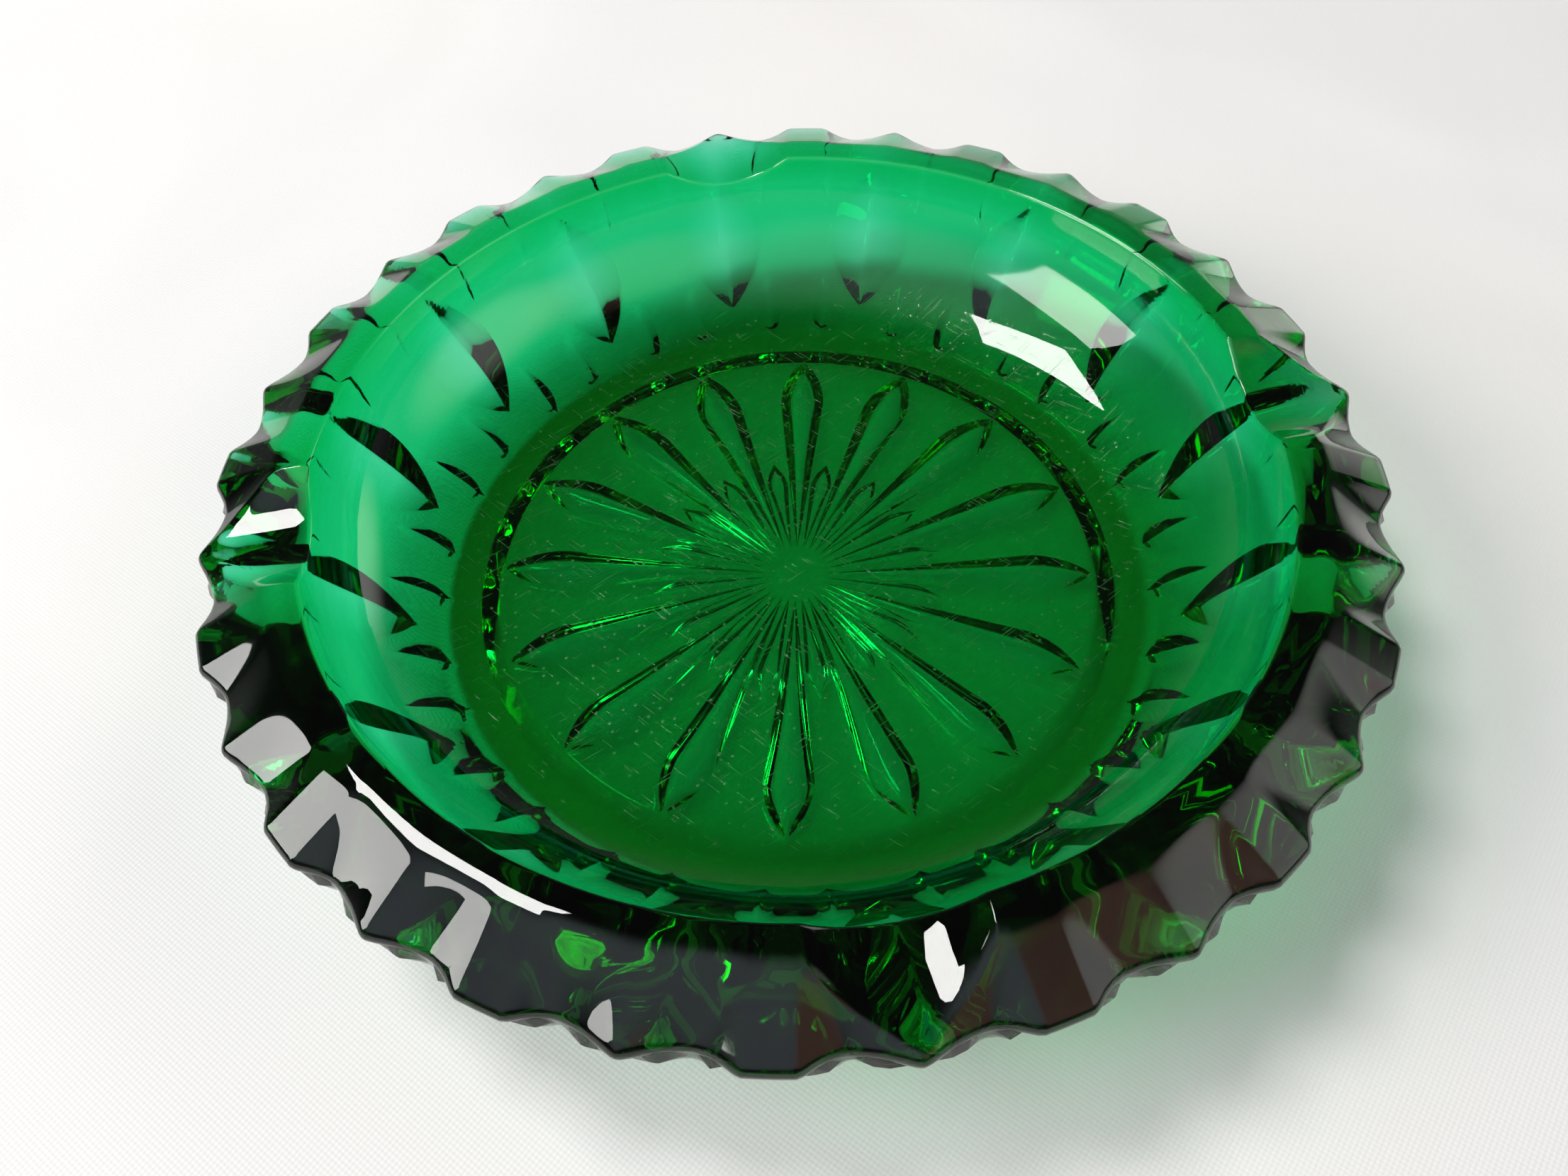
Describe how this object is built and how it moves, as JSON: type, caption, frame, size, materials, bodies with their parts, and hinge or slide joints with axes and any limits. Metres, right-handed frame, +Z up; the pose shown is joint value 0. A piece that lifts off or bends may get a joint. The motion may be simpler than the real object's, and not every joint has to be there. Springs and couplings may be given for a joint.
{
  "type": "ashtray",
  "caption": "Heavy round pressed-glass ashtray with a scalloped rim, cigarette rests, leaf cuts round the wall and a star pressed in the base",
  "frame": {"origin": "middle of the foot ring, on the surface the dish stands on", "axes": "+Z up, through the middle of the bowl; one rest lies along +X, one along +Y, and the others opposite them"},
  "size_m": [0.17, 0.17, 0.036],
  "materials": {
    "glass": "fire-polished emerald green soda-lime glass"
  },
  "bodies": {
    "root": {"glass_ashtray": "glass"}
  },
  "joints": []
}
